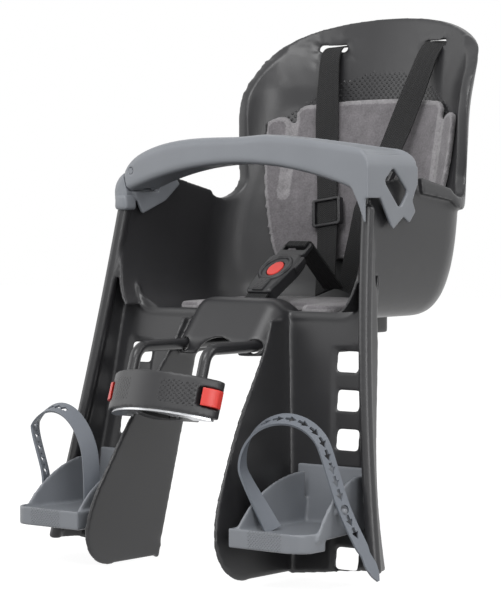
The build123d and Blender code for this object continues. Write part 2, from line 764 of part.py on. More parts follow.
with BuildPart() as bar_bracket:
    # Cap over the arm corner
    with BuildSketch(front(bracket_back)):
        with BuildLine():
            Line((3 - arm_half, 31), (-arm_half - 2, 28.5))
            ThreePointArc((-arm_half - 2, 28.5), (-arm_half - 9, 20), (-arm_half - 11, 8))
            Polyline(
                (-arm_half - 11, 8), (-arm_half - 10, -14), (9 - arm_half, -14), (9 - arm_half, 11),
                (3 - arm_half, 31),
            )
        make_face()
    extrude(amount=bracket_back - bracket_front)
    outer_front = bar_bracket.faces().sort_by(Axis.X)[0].edges().sort_by(Axis.Y)[0]
    fillet(outer_front, 9)
    # Inner plate that carries on backwards along the arm
    with BuildSketch(side(7.4 - arm_half)):
        with BuildLine():
            Polyline((-4, 11), (10, -11), (45, 2), (68, 19), (62, 26), (30, 26), (-4, 11))
        make_face()
    extrude(amount=4.5)
    # Lower edge: an arch over the bead in front, rising at the back
    with BuildSketch(side(-arm_half - 18)):
        Polygon(
            (-20, -20), (-20, -6), (-10, 2), (2, 2), (10, -11), (45, 2), (80, 26), (80, -20), align=None,
        )
    extrude(amount=30, mode=Mode.SUBTRACT)
    # Room for the arm wall
    with BuildSketch(side(-arm_half - 5.6)):
        Polygon(
            (-25, -30), (-25, 3), (-12, 3), (-3, 12), (17, 20), (arm_top_y + 20, 32), (arm_top_y + 20, -30),
            align=None,
        )
    extrude(amount=wall + 8.7, mode=Mode.SUBTRACT)
    # Bar end clearance, then the hinge knuckle and its web
    with BuildSketch(front(bar_rest_back + seam_gap)):
        Polygon(
            (bar_end_low[0] - seam_gap, bar_end_low[1] - seam_gap),
            (bar_end_top[0] - seam_gap, bar_end_top[1]), (bar_end_top[0] - seam_gap, 60),
            (52 - arm_half, 60), (52 - arm_half, bar_end_low[1] - seam_gap), align=None,
        )
    extrude(amount=60, mode=Mode.SUBTRACT)
    with BuildSketch(front(knuckle_y + knuckle_width)):
        with Locations(bar_pivot):
            Circle(knuckle_radius)
        Polygon(
            bar_pivot, (bar_pivot[0], bar_pivot[1] - knuckle_radius), (4 - arm_half, 21), (-arm_half, 29),
            (6 - arm_half, 33), align=None,
        )
        with Locations(bar_pivot):
            Circle(pin_radius + pin_clearance, mode=Mode.SUBTRACT)
    extrude(amount=knuckle_width)

with BuildPart() as hinge_pin:
    with BuildSketch(front(32)):
        with Locations(bar_pivot):
            Circle(pin_radius)
    extrude(amount=32 - bracket_front)

# Buckle, its push button and the tongue
with BuildPart() as buckle_housing:
    with BuildSketch(buckle_plane.offset(-9)):
        Polygon(
            (-buckle_half_low, buckle_low), (buckle_half_low, buckle_low), (buckle_half_top, 8),
            (buckle_half_top - 2, buckle_top), (2 - buckle_half_top, buckle_top), (-buckle_half_top, 8),
            align=None,
        )
    extrude(amount=14)
    fillet(buckle_housing.edges().filter_by(Axis((0, 0, 0), buckle_plane.z_dir)), 5)
    chamfer(buckle_housing.faces().sort_by(Axis((0, 0, 0), buckle_plane.z_dir))[-1].edges(), 2)
    with BuildSketch(buckle_plane.offset(5)):
        with Locations((0, buckle_button_y)):
            Ellipse(buckle_button_rx + fit, buckle_button_ry + fit)
    extrude(amount=-9, mode=Mode.SUBTRACT)
    # Mouth for the tongue blade and the slot for the crotch strap
    with BuildSketch(buckle_plane):
        with Locations((0, buckle_top)):
            Rectangle(23, 13)
    extrude(amount=1.8, both=True, mode=Mode.SUBTRACT)
    with BuildSketch(buckle_plane):
        with Locations((0, buckle_low)):
            Rectangle(strap_width + 0.8, 14)
    extrude(amount=strap_thick / 2 + fit, both=True, mode=Mode.SUBTRACT)

with BuildPart() as buckle_button:
    with BuildSketch(buckle_plane.offset(-1)):
        with Locations((0, buckle_button_y)):
            Ellipse(buckle_button_rx, buckle_button_ry)
    extrude(amount=6.6)

with BuildPart() as buckle_tongue:
    with BuildSketch(buckle_plane.offset(-2.5)):
        with Locations((0, (buckle_top + fit + tongue_end) / 2)):
            RectangleRounded(34, tongue_end - buckle_top - fit, 4)
        with Locations((0, 40)):
            Rectangle(27, 8, mode=Mode.SUBTRACT)
    extrude(amount=5)
    with BuildSketch(buckle_plane):
        with Locations((0, buckle_top - 0.5)):
            Rectangle(22, 10)
    extrude(amount=1.5, both=True)

with BuildPart() as crotch_strap:
    with BuildSketch(buckle_plane):
        with Locations((0, -45.5)):
            Rectangle(strap_width, 32)
    extrude(amount=strap_thick / 2, both=True)

with BuildPart() as crotch_anchor:
    with BuildSketch(buckle_plane.offset(-3.5)):
        with Locations((0, -58)):
            Rectangle(34, 6)
    extrude(amount=7)
    with BuildSketch(buckle_plane):
        with Locations((0, -57)):
            Rectangle(strap_width + 0.6, 10)
    extrude(amount=strap_thick / 2 + fit, both=True, mode=Mode.SUBTRACT)

with BuildPart() as tongue_strap:
    with BuildSketch(side()):
        with BuildLine() as tongue_line:
            FilletPolyline((80.6, -43.8), (89, -38), (146, -88), radius=5)
        trace(line_width=strap_thick)
    extrude(amount=strap_width / 2, both=True)


def strap(front_line, side_line, bends):
    """Webbing that follows a front-view course and a side-view course at once."""
    with BuildPart() as webbing:
        with BuildSketch(front(300)):
            with BuildLine():
                FilletPolyline(*front_line, radius=30)
            trace(line_width=strap_width)
        extrude(amount=260)
        with BuildSketch(side()):
            with BuildLine():
                FilletPolyline(*side_line, radius=bends)
            trace(line_width=strap_thick)
        extrude(amount=120, both=True, mode=Mode.INTERSECT)
    return webbing


adjuster_right = (-38.6, 187.8, -10)
adjuster_left = (39.6, 171.3, 29)
shoulder_strap_right = strap(
    ((-68.5, 190), (-35, -34), (-9, -96)),
    ((256, 168), (228, strap_slot_z), (208, 95), (183, -35), (146, -92)),
    [6, 40, 40],
)
shoulder_strap_left = strap(
    ((71, 190), (30, -20), (9, -96)),
    ((256, 168), (228, strap_slot_z), (191, 70), (154, -7), (154.5, -92)),
    [6, 60, 30],
)


def adjuster(place, lean, tilt):
    """Three-bar slide: two side bars, cross bars in front and a middle bar behind the webbing."""
    x, y, z = place
    along = Vector(tilt, lean, 1).normalized()
    facing = Vector(0, -1, lean).normalized()
    plane = Plane((x, arm_y + y, arm_z + z), x_dir=along.cross(facing), z_dir=facing)
    with BuildPart() as slide:
        with BuildSketch(plane.offset(-3.5)):
            RectangleRounded(36, 30, 3)
            Rectangle(29, 24, mode=Mode.SUBTRACT)
        extrude(amount=7)
        with BuildSketch(plane.offset(-1.3)):
            Rectangle(29, 40)
        extrude(amount=2.6, mode=Mode.SUBTRACT)
        with BuildSketch(plane.offset(-3.5)):
            with Locations((0, -13.5), (0, 13.5)):
                Rectangle(29, 5)
        extrude(amount=2.2, mode=Mode.SUBTRACT)
        with BuildSketch(plane.offset(-3.5)):
            Rectangle(30, 6)
        extrude(amount=2.2)
    return slide


strap_adjuster_right = adjuster(adjuster_right, 0.192, -0.15)
strap_adjuster_left = adjuster(adjuster_left, 0.4805, 0.195)


def back_wall(x, z):
    """Outer face of the back behind a place in the front view: its point and its outward normal."""
    sight = Axis((x, arm_y + wing_y, arm_z + z), (0, 1, 0))
    hits = seat_shell.part.find_intersection_points(sight)
    return max(hits, key=lambda hit: hit[0].Y)


strap_anchors = []
for hand in (1, -1):
    above, above_normal = back_wall(hand * strap_slot_x, strap_slot_z + anchor_height / 2)
    below, below_normal = back_wall(hand * strap_slot_x, strap_slot_z - anchor_height / 2)
    outward = (above_normal + below_normal).normalized()
    with BuildPart() as strap_anchor:
        seat_point = (above + below) / 2 + outward * anchor_gap
        rear = Plane(seat_point, x_dir=outward.cross(Axis.Z.direction), z_dir=outward)
        with BuildSketch(rear):
            RectangleRounded(42, anchor_height, 4)
            SlotOverall(strap_width + 10, strap_slot_height + 2, mode=Mode.SUBTRACT)
        extrude(amount=3)
    strap_anchors.append(strap_anchor)

# Footrests: a tray with a front band, two fins and a back plate that slides on the calf panel
rest_bottom = calf_top - rest_floor
foot_peg = (arm_y - 88, arm_z - 281)
foot_plane = Plane((rest_inner_x + 3, arm_y - 112, arm_z), x_dir=(1, 0.3, 0), z_dir=(0.3, -1, 0))
with BuildPart() as footrest_left:
    # Tray floor
    with BuildSketch(level(rest_floor)):
        with BuildLine():
            Polyline((rest_inner_x, -34), (rest_inner_x, rest_front))
            Line((rest_inner_x, rest_front), (rest_outer_x - 14, rest_front))
            RadiusArc((rest_outer_x - 14, rest_front), (rest_outer_x, rest_front + 14), -14)
            Polyline(
                (rest_outer_x, rest_front + 14), (rest_outer_x, -110), (rest_outer_x - 12, -34),
                (rest_inner_x, -34),
            )
        make_face()
    extrude(amount=rest_thick)
    # Front band
    with BuildSketch(level(rest_floor - 10)):
        with BuildLine():
            Polyline(
                (rest_inner_x - 4, -110), (rest_inner_x - 4, rest_front - 3),
                (rest_outer_x - 14, rest_front - 3),
            )
            RadiusArc((rest_outer_x - 14, rest_front - 3), (rest_outer_x + 3, rest_front + 14), -17)
            Polyline((rest_outer_x + 3, rest_front + 14), (rest_outer_x + 3, -108), (rest_outer_x, -108))
            Line((rest_outer_x, -108), (rest_outer_x, rest_front + 14))
            RadiusArc((rest_outer_x, rest_front + 14), (rest_outer_x - 14, rest_front), 14)
            Polyline(
                (rest_outer_x - 14, rest_front), (rest_inner_x, rest_front), (rest_inner_x, -110),
                (rest_inner_x - 4, -110),
            )
        make_face()
    extrude(amount=18)
    # Inner fin
    with BuildSketch(side(rest_inner_x)):
        with BuildLine():
            Spline((rest_front, rest_floor + 2), (-119, -281), (-74, -259), (-34, -254))
            Polyline((-34, -254), (-34, rest_floor), (rest_front, rest_floor), (rest_front, rest_floor + 2))
        make_face()
    extrude(amount=3)
    # Outer fin, slanting outwards to the front
    fin_plane = Plane((rest_outer_x - 12, arm_y - 34, arm_z), x_dir=(-12, 76, 0), z_dir=(76, 12, 0))
    with BuildSketch(fin_plane):
        with BuildLine():
            Spline((-92, rest_floor + 2), (-62, -273), (-38, -260), (0, -254))
            Polyline((0, -254), (0, rest_floor), (-92, rest_floor), (-92, rest_floor + 2))
        make_face()
    extrude(amount=3)
    # Back plate along the calf panel
    with BuildSketch(calf_plane.offset(rest_gap)):
        with Locations((rest_inner_x + 29, -(rest_bottom - 27))):
            Rectangle(82, 58)
    extrude(amount=4)
    # Peg for the foot strap on the outer fin
    with BuildSketch(Plane((rest_outer_x - 2, *foot_peg), x_dir=(0, 1, 0), z_dir=(1, 0, 0))):
        Circle(peg_radius)
    extrude(amount=13)

strap_foot = (3, rest_floor + rest_thick + fit)
strap_peg = (87, -281)
foot_strap_courses = {
    "left": ((-12, -250), (24, -197), (68, -222), (120, -343)),
    "right": ((6, -246), (76, -200), (116, -226), (104, -312)),
}


def foot_strap(course):
    """Rubber band from the tray, over the foot, to the peg on the outer fin and on to its tail."""
    rise, crown, fall, tail = course
    with BuildPart() as band:
        with BuildSketch(foot_plane.offset(-foot_strap_width / 2)):
            with BuildLine():
                Polyline(strap_foot, (strap_foot[0], -272), rise)
                ThreePointArc(rise, crown, fall)
                Polyline(fall, strap_peg, tail)
            trace(line_width=foot_strap_thick)
        extrude(amount=foot_strap_width)
        with BuildSketch(Plane((rest_outer_x - 16, *foot_peg), x_dir=(0, 1, 0), z_dir=(1, 0, 0))):
            Circle(peg_radius + fit)
        extrude(amount=60, mode=Mode.SUBTRACT)
    return band


foot_strap_left = foot_strap(foot_strap_courses["left"])
foot_strap_right = foot_strap(foot_strap_courses["right"])

pieces = {
    "seat_shell": seat_shell,
    "back_pad": back_pad,
    "seat_pad": seat_pad,
    "carrier_rod": carrier_rod,
    "rod_saddle": rod_saddle,
    "saddle_screw_left": saddle_screws[0],
    "saddle_screw_right": saddle_screws[1],
    "block_body": block_body,
    "block_jaw": block_jaw,
    "clamp_bolt_left": clamp_bolts[0],
    "clamp_bolt_right": clamp_bolts[1],
    "clamp_liner": clamp_liner,
    "block_base_plate": block_base_plate,
    "release_button_left": release_buttons[0],
    "release_button_right": release_buttons[1],
    "button_spring_left": button_springs[0],
    "button_spring_right": button_springs[1],
    "safety_bar": safety_bar,
    "bar_bracket": bar_bracket,
    "hinge_pin": hinge_pin,
    "buckle_housing": buckle_housing,
    "buckle_button": buckle_button,
    "buckle_tongue": buckle_tongue,
    "crotch_strap": crotch_strap,
    "crotch_anchor": crotch_anchor,
    "tongue_strap": tongue_strap,
    "shoulder_strap_left": shoulder_strap_left,
    "shoulder_strap_right": shoulder_strap_right,
    "strap_adjuster_left": strap_adjuster_left,
    "strap_adjuster_right": strap_adjuster_right,
    "strap_anchor_left": strap_anchors[0],
    "strap_anchor_right": strap_anchors[1],
    "footrest_left": footrest_left,
    "foot_strap_left": foot_strap_left,
}
for label, piece in pieces.items():
    solid = piece.part
    solid.label = label
    export_step(solid, f"parts/{label}.step")
    if not solid.is_valid or len(solid.solids()) != 1:
        print(label, solid.is_valid, len(solid.solids()), solid.volume)

for label, piece in {"footrest_right": footrest_left, "foot_strap_right": foot_strap_right}.items():
    other = mirror(piece.part, about=Plane.YZ)
    other.label = label
    export_step(other, f"parts/{label}.step")
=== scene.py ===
# %% [markdown]
# This lesson dresses a child's front bike seat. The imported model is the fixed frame:
# every piece below sits where that frame says, in metres, with +X to the child's left,
# +Y to the back of the seat and +Z up.

# %% Load the frame
import bpy
import bmesh
import json
import math
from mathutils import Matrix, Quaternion, Vector
from mathutils.kdtree import KDTree


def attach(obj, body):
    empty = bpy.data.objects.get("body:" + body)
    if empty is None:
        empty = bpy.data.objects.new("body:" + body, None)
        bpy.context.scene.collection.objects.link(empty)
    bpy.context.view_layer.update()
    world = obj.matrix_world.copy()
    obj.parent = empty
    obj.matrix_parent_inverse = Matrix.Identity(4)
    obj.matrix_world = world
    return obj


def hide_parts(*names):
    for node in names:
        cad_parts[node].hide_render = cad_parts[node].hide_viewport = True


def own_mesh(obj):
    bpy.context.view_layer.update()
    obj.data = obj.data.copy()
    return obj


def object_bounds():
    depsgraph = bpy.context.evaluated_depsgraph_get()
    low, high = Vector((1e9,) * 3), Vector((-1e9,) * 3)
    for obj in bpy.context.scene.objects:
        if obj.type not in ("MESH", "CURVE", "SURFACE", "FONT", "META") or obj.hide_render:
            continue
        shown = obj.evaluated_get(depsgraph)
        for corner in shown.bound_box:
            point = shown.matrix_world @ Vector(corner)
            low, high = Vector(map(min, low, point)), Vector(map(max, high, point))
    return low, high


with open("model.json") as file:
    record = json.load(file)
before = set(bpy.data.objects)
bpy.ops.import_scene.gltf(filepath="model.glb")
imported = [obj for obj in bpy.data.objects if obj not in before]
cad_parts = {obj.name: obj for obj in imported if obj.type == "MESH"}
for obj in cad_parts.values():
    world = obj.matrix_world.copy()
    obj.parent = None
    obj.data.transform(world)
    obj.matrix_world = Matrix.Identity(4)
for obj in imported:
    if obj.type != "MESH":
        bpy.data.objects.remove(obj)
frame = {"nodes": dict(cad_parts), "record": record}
cad_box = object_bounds()
nodes = frame["nodes"]
slot_of = {part["node"]: part["material_slot"] for part in frame["record"]["subparts"]}
print("nodes in the frame:", len(nodes))


# %% [markdown]
# The photograph looks at the seat from its front left, nearly level. The lens is long,
# so lines that run away from us hardly close up. The camera stands where the frame's
# own points fall on the same spots as in the picture.

# %% Camera
lens_mm = 144
sensor_mm = 36
camera_place = (1.4627, -1.7193, 0.1776)
looks_down = 2.22
turned_left = 38.28
camera_data = bpy.data.cameras.new("camera")
camera_data.lens = lens_mm
camera_data.sensor_width = sensor_mm
camera_data.clip_end = 20
camera = bpy.data.objects.new("camera", camera_data)
bpy.context.scene.collection.objects.link(camera)
camera.location = camera_place
camera.rotation_euler = (math.radians(90 - looks_down), 0, math.radians(turned_left))
bpy.context.scene.camera = camera
bpy.context.scene.view_settings.view_transform = "Standard"
print("camera at", tuple(round(value, 3) for value in camera.location))


# %% [markdown]
# A product picture on white. The floor is matt paint that glows for the eye, so it reads
# as white paper. The glow shows in gloss too, but it doesn't light the seat, and the lamps
# still fall on the paint, so the seat's shadow stays as a faint grey. A shader is a tree
# of nodes, and every finish in this lesson needs a handful of them, so a helper adds a
# node with its settings and its values.

# %% Floor paint
paper_tone = (0.3, 0.3, 0.3, 1)
paper_glow = 0.92


def add_node(tree, kind, values=None, **settings):
    """A shader node with its settings and its plain input values."""
    made = tree.nodes.new("ShaderNode" + kind)
    for key, value in settings.items():
        setattr(made, key, value)
    for key, value in (values or {}).items():
        made.inputs[key].default_value = value
    return made


def seen_directly(tree):
    """One for rays that show the backdrop: from the eye, off gloss or through glass."""
    path = add_node(tree, "LightPath")
    either = add_node(tree, "Math", operation="MAXIMUM")
    all_three = add_node(tree, "Math", operation="MAXIMUM")
    tree.links.new(path.outputs["Is Camera Ray"], either.inputs[0])
    tree.links.new(path.outputs["Is Glossy Ray"], either.inputs[1])
    tree.links.new(either.outputs[0], all_three.inputs[0])
    tree.links.new(path.outputs["Is Transmission Ray"], all_three.inputs[1])
    return all_three.outputs[0]


def new_finish(name):
    """An empty finish: the material, its tree and its main shader."""
    material = bpy.data.materials.new(name)
    material.use_nodes = True
    return material, material.node_tree, material.node_tree.nodes["Principled BSDF"]


floor_paint, floor_tree, floor_shader = new_finish("floor_paint")
floor_shader.inputs["Base Color"].default_value = paper_tone
floor_shader.inputs["Roughness"].default_value = 0.95
floor_shader.inputs["Specular IOR Level"].default_value = 0.0
glow = add_node(floor_tree, "Emission")
both = add_node(floor_tree, "AddShader")
glow_level = add_node(floor_tree, "Math", {1: paper_glow}, operation="MULTIPLY")
floor_output = floor_tree.nodes["Material Output"]
floor_tree.links.new(seen_directly(floor_tree), glow_level.inputs[0])
floor_tree.links.new(glow_level.outputs[0], glow.inputs["Strength"])
floor_tree.links.new(floor_shader.outputs["BSDF"], both.inputs[0])
floor_tree.links.new(glow.outputs["Emission"], both.inputs[1])
floor_tree.links.new(both.outputs["Shader"], floor_output.inputs["Surface"])
print("floor paint nodes:", len(floor_tree.nodes))


# %% [markdown]
# The floor itself is one large plane, just under the lowest point of the frame. It is part
# of the stage and not of the seat. An operator acts on all that is selected, and loading
# the frame leaves its nodes selected, so everything is deselected first.

# %% Floor
floor_size = 12
floor_gap = 0.002


def deselect_all():
    """Clears the selection before an operator is used."""
    bpy.ops.object.select_all(action="DESELECT")


deselect_all()
bpy.ops.mesh.primitive_plane_add(size=floor_size, location=(0, 0, cad_box[0][2] - floor_gap))
floor = bpy.context.object
floor.name = "floor"
floor.data.materials.append(floor_paint)
print("floor at", round(floor.location.z, 4))


# %% [markdown]
# The world is white to the eye, to mirrors and through glass, and a plain soft grey light
# for everything else. Two backgrounds and a mix do that, with the same rays as the floor.

# %% World
white = (1, 1, 1, 1)
sky_light = 0.38
world = bpy.data.worlds.new("studio")
world.use_nodes = True
bpy.context.scene.world = world
world_tree = world.node_tree
world_output = world_tree.nodes["World Output"]
sky = world_tree.nodes["Background"]
sky.inputs["Color"].default_value = white
sky.inputs["Strength"].default_value = sky_light
paper = add_node(world_tree, "Background", {"Color": white, "Strength": 1.0})
world_mix = add_node(world_tree, "MixShader")
world_tree.links.new(seen_directly(world_tree), world_mix.inputs["Fac"])
world_tree.links.new(sky.outputs["Background"], world_mix.inputs[1])
world_tree.links.new(paper.outputs["Background"], world_mix.inputs[2])
world_tree.links.new(world_mix.outputs["Shader"], world_output.inputs["Surface"])
print("sky light", sky_light)


# %% [markdown]
# Four large soft lamps: a key from above, a fill from the left, a rim lamp from behind on
# the right and a front lamp beside the camera. Large lamps let the dark plastic show its
# rounded edges without hard highlights.

# %% Lamps
seat_middle = Vector((0, 0.15, 0.1))


def soft_lamp(name, place, size, power):
    """A square area lamp that looks at the middle of the seat."""
    data = bpy.data.lights.new(name, "AREA")
    data.size = size
    data.energy = power
    lamp = bpy.data.objects.new(name, data)
    lamp.location = place
    lamp.rotation_euler = (seat_middle - Vector(place)).to_track_quat("-Z", "Y").to_euler()
    bpy.context.scene.collection.objects.link(lamp)
    return lamp


lamps = [
    soft_lamp("key", (0.4, -1.5, 2.0), size=1.3, power=36),
    soft_lamp("fill", (-1.9, -1.0, 0.7), size=1.5, power=10),
    soft_lamp("rim", (1.7, 1.0, 1.3), size=1.0, power=11),
    soft_lamp("front", (2.0, -1.2, 0.8), size=0.9, power=15),
]
print("lamps:", len(lamps))


# %% [markdown]
# Some mouldings have patches of small raised dots for grip. Hundreds of them as faces would
# make the meshes much heavier, so the dots are a bump: two sine waves multiplied give
# staggered round hills, and only where the mesh carries a "dots" attribute.

# %% Raised dots
shell_pitch = 0.0062
block_pitch = 0.0046
toe_pitch = 0.0034


def raised_dots(tree, place, pitch):
    """Height of staggered round dots where the mesh says so, on X and Z of the object."""
    split = add_node(tree, "SeparateXYZ")
    tree.links.new(place.outputs["Object"], split.inputs[0])
    waves = []
    for axis in ("X", "Z"):
        turns = add_node(tree, "Math", {1: 2 * math.pi / pitch}, operation="MULTIPLY")
        wave = add_node(tree, "Math", operation="SINE")
        tree.links.new(split.outputs[axis], turns.inputs[0])
        tree.links.new(turns.outputs[0], wave.inputs[0])
        waves.append(wave)
    product = add_node(tree, "Math", operation="MULTIPLY")
    tree.links.new(waves[0].outputs[0], product.inputs[0])
    tree.links.new(waves[1].outputs[0], product.inputs[1])
    cap = add_node(tree, "MapRange", {"From Min": 0.25, "From Max": 0.75})
    tree.links.new(product.outputs[0], cap.inputs["Value"])
    where = add_node(tree, "Attribute", attribute_name="dots")
    shown = add_node(tree, "Math", operation="MULTIPLY")
    tree.links.new(cap.outputs["Result"], shown.inputs[0])
    tree.links.new(where.outputs["Fac"], shown.inputs[1])
    return shown.outputs[0]


print("dot pitches", shell_pitch, block_pitch, toe_pitch)


# %% [markdown]
# The plastics are never one flat colour: a fine noise lifts the surface like spark-eroded
# grain, and a slow noise changes tone and gloss across the piece, as on real moulded
# parts. One helper makes them all, and the dots come on top where a finish asks for them.

# %% Plastic finishes
gloss_swing = 0.07
tone_swing = 0.12
grain_height = 0.0006
dot_height = 0.0012


def moulded(name, color, roughness, grain=0.1, dot_pitch=None):
    """Moulded plastic with a fine grain, slow changes of gloss and, if asked, raised dots."""
    material, tree, shader = new_finish(name)
    link = tree.links.new
    glossy, matt = roughness - gloss_swing, roughness + gloss_swing
    place = add_node(tree, "TexCoord")
    fine = add_node(tree, "TexNoise", {"Scale": 1400, "Detail": 2})
    slow = add_node(tree, "TexNoise", {"Scale": 18, "Detail": 3})
    tone = add_node(tree, "MapRange", {"To Min": 1 - tone_swing, "To Max": 1 + tone_swing})
    gloss = add_node(tree, "MapRange", {"To Min": glossy, "To Max": matt})
    tint = add_node(tree, "Mix", data_type="RGBA", blend_type="MULTIPLY")
    tint.inputs["Factor"].default_value = 1
    tint.inputs["A"].default_value = (*color, 1)
    bump = add_node(tree, "Bump", {"Strength": grain, "Distance": grain_height})
    link(place.outputs["Object"], fine.inputs["Vector"])
    link(place.outputs["Object"], slow.inputs["Vector"])
    link(slow.outputs["Fac"], tone.inputs["Value"])
    link(slow.outputs["Fac"], gloss.inputs["Value"])
    link(tone.outputs["Result"], tint.inputs["B"])
    link(tint.outputs["Result"], shader.inputs["Base Color"])
    link(gloss.outputs["Result"], shader.inputs["Roughness"])
    link(fine.outputs["Fac"], bump.inputs["Height"])
    link(bump.outputs["Normal"], shader.inputs["Normal"])
    if dot_pitch:
        dots = add_node(tree, "Bump", {"Strength": 0.9, "Distance": dot_height})
        link(raised_dots(tree, place, dot_pitch), dots.inputs["Height"])
        link(bump.outputs["Normal"], dots.inputs["Normal"])
        link(dots.outputs["Normal"], shader.inputs["Normal"])
    print("plastic finish:", name)
    return material


shell_plastic = moulded("shell_plastic", (0.0255, 0.0255, 0.0275), 0.35, dot_pitch=shell_pitch)
black_plastic = moulded("black_plastic", (0.02, 0.02, 0.022), 0.4, dot_pitch=block_pitch)
grey_plastic = moulded("grey_plastic", (0.22, 0.233, 0.255), 0.38, dot_pitch=toe_pitch)
strap_rubber = moulded("strap_rubber", (0.15, 0.165, 0.19), 0.5)
red_plastic = moulded("red_plastic", (0.72, 0.045, 0.034), 0.36, grain=0.05)
liner_rubber = moulded("liner_rubber", (0.02, 0.02, 0.02), 0.7)


# %% [markdown]
# The rods are steel with a satin black coat, and the screws and plates are bright zinc.
# A stretched noise gives the faint streaks that drawing and plating leave.

# %% Metal finishes
def metal(name, color, roughness, metallic):
    """Coated or bright metal with faint streaks of gloss."""
    material, tree, shader = new_finish(name)
    shader.inputs["Metallic"].default_value = metallic
    place = add_node(tree, "TexCoord")
    stretch = add_node(tree, "Mapping", {"Scale": (1, 1, 6)})
    streak = add_node(tree, "TexNoise", {"Scale": 160, "Detail": 3})
    gloss = add_node(tree, "MapRange", {"To Min": roughness - 0.06, "To Max": roughness + 0.1})
    tone = add_node(tree, "Mix", data_type="RGBA")
    tone.inputs["A"].default_value = (*(0.85 * value for value in color), 1)
    tone.inputs["B"].default_value = (*color, 1)
    tree.links.new(place.outputs["Object"], stretch.inputs["Vector"])
    tree.links.new(stretch.outputs["Vector"], streak.inputs["Vector"])
    tree.links.new(streak.outputs["Fac"], gloss.inputs["Value"])
    tree.links.new(streak.outputs["Fac"], tone.inputs["Factor"])
    tree.links.new(tone.outputs["Result"], shader.inputs["Base Color"])
    tree.links.new(gloss.outputs["Result"], shader.inputs["Roughness"])
    print("metal finish:", name)
    return material


rod_black = metal("rod_black", (0.02, 0.02, 0.022), 0.3, 0.0)
zinc = metal("zinc", (0.62, 0.63, 0.65), 0.28, 1.0)


# %% [markdown]
# The pads are covered in a short grey velour. Nap catches light unevenly, so two noises at
# different sizes mottle the tone, sheen softens the edges and a deep fine bump stands for
# the pile. The welded border of a pad is smoother and lighter: the pads carry a "border"
# attribute that mixes it in.

# %% Velour
nap_tones = {"From Min": 0.3, "From Max": 0.7, "To Min": 0.62, "To Max": 1.36}


def velour(name, color, border_color):
    """Short velour with mottled nap and a lighter, flatter welded border."""
    material, tree, shader = new_finish(name)
    link = tree.links.new
    shader.inputs["Roughness"].default_value = 0.92
    shader.inputs["Sheen Weight"].default_value = 0.35
    shader.inputs["Sheen Roughness"].default_value = 0.5
    place = add_node(tree, "TexCoord")
    nap = add_node(tree, "TexNoise", {"Scale": 520, "Detail": 4})
    brushed = add_node(tree, "TexNoise", {"Scale": 60, "Detail": 6, "Roughness": 0.65})
    mixed = add_node(tree, "Mix")
    mixed.inputs["Factor"].default_value = 0.55
    tone = add_node(tree, "MapRange", nap_tones)
    tint = add_node(tree, "Mix", data_type="RGBA", blend_type="MULTIPLY")
    tint.inputs["Factor"].default_value = 1
    edge = add_node(tree, "Attribute", attribute_name="border")
    base = add_node(tree, "Mix", data_type="RGBA")
    base.inputs["A"].default_value = (*color, 1)
    base.inputs["B"].default_value = (*border_color, 1)
    bump = add_node(tree, "Bump", {"Strength": 0.55, "Distance": 0.0012})
    link(place.outputs["Object"], nap.inputs["Vector"])
    link(place.outputs["Object"], brushed.inputs["Vector"])
    link(nap.outputs["Fac"], mixed.inputs["A"])
    link(brushed.outputs["Fac"], mixed.inputs["B"])
    link(mixed.outputs["Result"], tone.inputs["Value"])
    link(edge.outputs["Fac"], base.inputs["Factor"])
    link(base.outputs["Result"], tint.inputs["A"])
    link(tone.outputs["Result"], tint.inputs["B"])
    link(tint.outputs["Result"], shader.inputs["Base Color"])
    link(nap.outputs["Fac"], bump.inputs["Height"])
    link(bump.outputs["Normal"], shader.inputs["Normal"])
    return material


pad_velour = velour("pad_velour", (0.178, 0.168, 0.178), (0.275, 0.265, 0.275))
print("velour:", pad_velour.name)


# %% [markdown]
# Harness webbing is a tight black herringbone weave. The strips below carry a UV map in
# metres, u across and v along, so a zigzag of u added to v draws the chevrons at their
# real size of a few millimetres, whatever way the strap runs.

# %% Webbing
rib_tones = {"From Min": -1.0, "From Max": 1.0, "To Min": 0.2, "To Max": 2.0}


def woven(name, color, chevron, rib):
    """Herringbone weave from the strip's own UV map."""
    material, tree, shader = new_finish(name)
    link = tree.links.new
    shader.inputs["Roughness"].default_value = 0.8
    place = add_node(tree, "TexCoord")
    split = add_node(tree, "SeparateXYZ")
    zigzag = add_node(tree, "Math", {1: chevron}, operation="PINGPONG")
    total = add_node(tree, "Math", operation="ADD")
    turns = add_node(tree, "Math", {1: 2 * math.pi / rib}, operation="MULTIPLY")
    wave = add_node(tree, "Math", operation="SINE")
    tone = add_node(tree, "MapRange", rib_tones)
    tint = add_node(tree, "Mix", data_type="RGBA", blend_type="MULTIPLY")
    tint.inputs["Factor"].default_value = 1
    tint.inputs["A"].default_value = (*color, 1)
    bump = add_node(tree, "Bump", {"Strength": 1.0, "Distance": 0.0007})
    link(place.outputs["UV"], split.inputs[0])
    link(split.outputs["X"], zigzag.inputs[0])
    link(zigzag.outputs[0], total.inputs[0])
    link(split.outputs["Y"], total.inputs[1])
    link(total.outputs[0], turns.inputs[0])
    link(turns.outputs[0], wave.inputs[0])
    link(wave.outputs[0], tone.inputs["Value"])
    link(tone.outputs["Result"], tint.inputs["B"])
    link(tint.outputs["Result"], shader.inputs["Base Color"])
    link(wave.outputs[0], bump.inputs["Height"])
    link(bump.outputs["Normal"], shader.inputs["Normal"])
    return material


webbing_black = woven("webbing_black", (0.02, 0.02, 0.021), chevron=0.0034, rib=0.0021)
print("webbing:", webbing_black.name)


# %% [markdown]
# Every node of the frame has a slot that says what it is made of, so one table from slot
# to finish paints them all. Of the steel hinge pin only the head shows, and it is as grey
# as the bar round it, so the pin takes the bar's finish.

